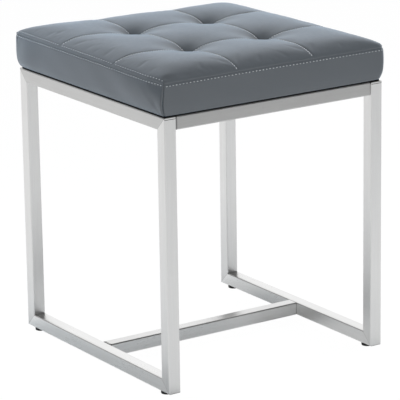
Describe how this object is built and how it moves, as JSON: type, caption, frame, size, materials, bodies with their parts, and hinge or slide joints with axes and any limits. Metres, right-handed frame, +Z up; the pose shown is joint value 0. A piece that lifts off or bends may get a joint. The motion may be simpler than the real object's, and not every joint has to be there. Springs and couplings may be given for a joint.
{
  "type": "upholstered stool",
  "caption": "Square stool on two closed steel tube loops, with a tufted leatherette cushion, a centre stretcher and screw-adjusted floor glides.",
  "frame": {"origin": "centre of the bounding box on the floor, between the four glides", "axes": "+Z up, +Y from the front to the rear, +X from the left loop to the right loop"},
  "size_m": [0.389, 0.407, 0.4835],
  "materials": {
    "steel": "satin",
    "zinc": "satin",
    "nylon": "matte",
    "plywood": "matte",
    "foam": "matte",
    "leatherette": "satin",
    "cord": "matte",
    "dust_cloth": "matte",
    "felt": "matte"
  },
  "bodies": {
    "frame": {"left_front_leg": "steel", "left_rear_leg": "steel", "left_top_rail": "steel", "left_bottom_rail": "steel", "right_front_leg": "steel", "right_rear_leg": "steel", "right_top_rail": "steel", "right_bottom_rail": "steel", "front_top_rail": "steel", "rear_top_rail": "steel", "stretcher": "steel", "corner_plate_lf": "steel", "corner_plate_lr": "steel", "corner_plate_rf": "steel", "corner_plate_rr": "steel", "glide_inserts": "zinc", "seat_board": "plywood", "t_nuts": "zinc", "seat_bolts": "zinc", "washers": "zinc", "seat_foam": "foam", "panel_11": "leatherette", "panel_12": "leatherette", "panel_13": "leatherette", "panel_21": "leatherette", "panel_22": "leatherette", "panel_23": "leatherette", "panel_31": "leatherette", "panel_32": "leatherette", "panel_33": "leatherette", "front_band": "leatherette", "rear_band": "leatherette", "left_band": "leatherette", "right_band": "leatherette", "tuft_ties": "cord", "tuft_anchors": "nylon", "dust_cover": "dust_cloth", "staples": "zinc", "seat_felt": "felt"},
    "pad_lf": {"glide_pad_lf": "nylon"},
    "stem_lf": {"glide_stem_lf": "zinc"},
    "pad_lr": {"glide_pad_lr": "nylon"},
    "stem_lr": {"glide_stem_lr": "zinc"},
    "pad_rf": {"glide_pad_rf": "nylon"},
    "stem_rf": {"glide_stem_rf": "zinc"},
    "pad_rr": {"glide_pad_rr": "nylon"},
    "stem_rr": {"glide_stem_rr": "zinc"}
  },
  "joints": [
    {"name": "glide_travel_lf", "type": "slide", "parent": "frame", "child": "pad_lf", "axis": [0, 0, -1], "range_m": [0, 0.006]},
    {"name": "glide_turn_lf", "type": "hinge", "parent": "pad_lf", "child": "stem_lf", "pos_m": [-0.182, -0.179, 0.01], "axis": [0, 0, -1], "range_deg": [0, 2160]},
    {"name": "glide_travel_lr", "type": "slide", "parent": "frame", "child": "pad_lr", "axis": [0, 0, -1], "range_m": [0, 0.006]},
    {"name": "glide_turn_lr", "type": "hinge", "parent": "pad_lr", "child": "stem_lr", "pos_m": [-0.182, 0.179, 0.01], "axis": [0, 0, -1], "range_deg": [0, 2160]},
    {"name": "glide_travel_rf", "type": "slide", "parent": "frame", "child": "pad_rf", "axis": [0, 0, -1], "range_m": [0, 0.006]},
    {"name": "glide_turn_rf", "type": "hinge", "parent": "pad_rf", "child": "stem_rf", "pos_m": [0.182, -0.179, 0.01], "axis": [0, 0, -1], "range_deg": [0, 2160]},
    {"name": "glide_travel_rr", "type": "slide", "parent": "frame", "child": "pad_rr", "axis": [0, 0, -1], "range_m": [0, 0.006]},
    {"name": "glide_turn_rr", "type": "hinge", "parent": "pad_rr", "child": "stem_rr", "pos_m": [0.182, 0.179, 0.01], "axis": [0, 0, -1], "range_deg": [0, 2160]}
  ],
  "couplings": [
    {"joint": "glide_turn_lf", "follows": "glide_travel_lf", "rad_per_m": 6283.2},
    {"joint": "glide_turn_lr", "follows": "glide_travel_lr", "rad_per_m": 6283.2},
    {"joint": "glide_turn_rf", "follows": "glide_travel_rf", "rad_per_m": 6283.2},
    {"joint": "glide_turn_rr", "follows": "glide_travel_rr", "rad_per_m": 6283.2}
  ]
}
